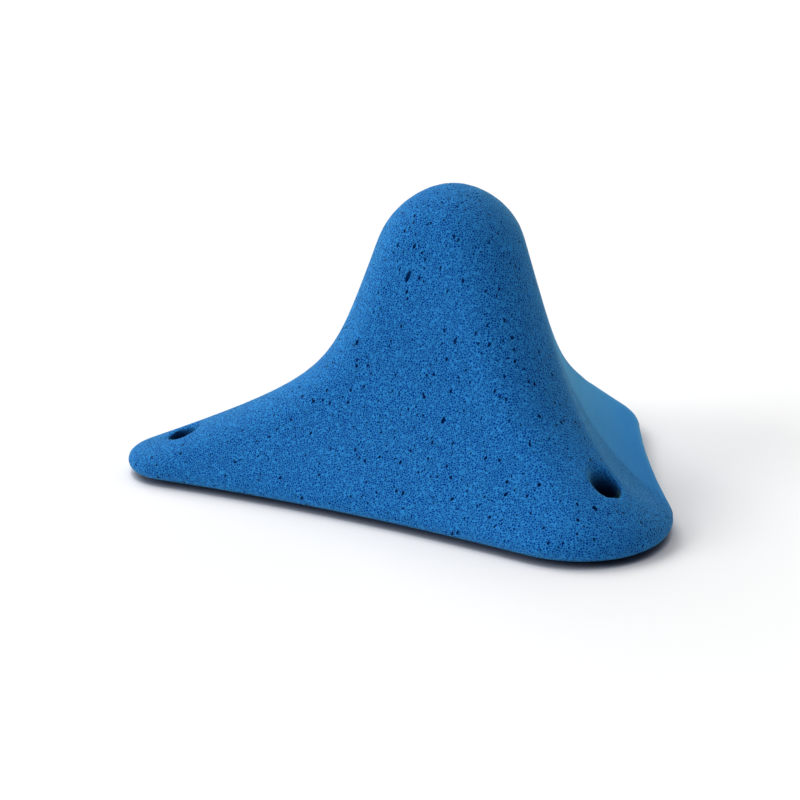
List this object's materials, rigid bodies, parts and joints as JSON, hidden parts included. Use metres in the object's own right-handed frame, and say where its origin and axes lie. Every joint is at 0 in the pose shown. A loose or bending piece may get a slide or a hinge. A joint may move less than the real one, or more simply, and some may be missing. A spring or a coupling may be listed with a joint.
{
  "type": "climbing hold",
  "caption": "Screw-on pinch hold for a climbing wall: a tall rounded peak on a flat-backed base with a long leg and two short ones, with recessed screw holes.",
  "frame": {"origin": "foot of the peak's axis on the flat back face", "axes": "+Z out of the wall towards the peak, the long leg along -X, the short legs either side of +X"},
  "size_m": [0.2401, 0.194, 0.131],
  "materials": {
    "polyurethane": "matt mid-blue cast polyurethane with a foam-like grain and open pores",
    "steel": "plain flat washer"
  },
  "bodies": {
    "root": {"hold_body": "polyurethane", "washer_long": "steel", "washer_front": "steel", "washer_back": "steel"}
  },
  "joints": []
}
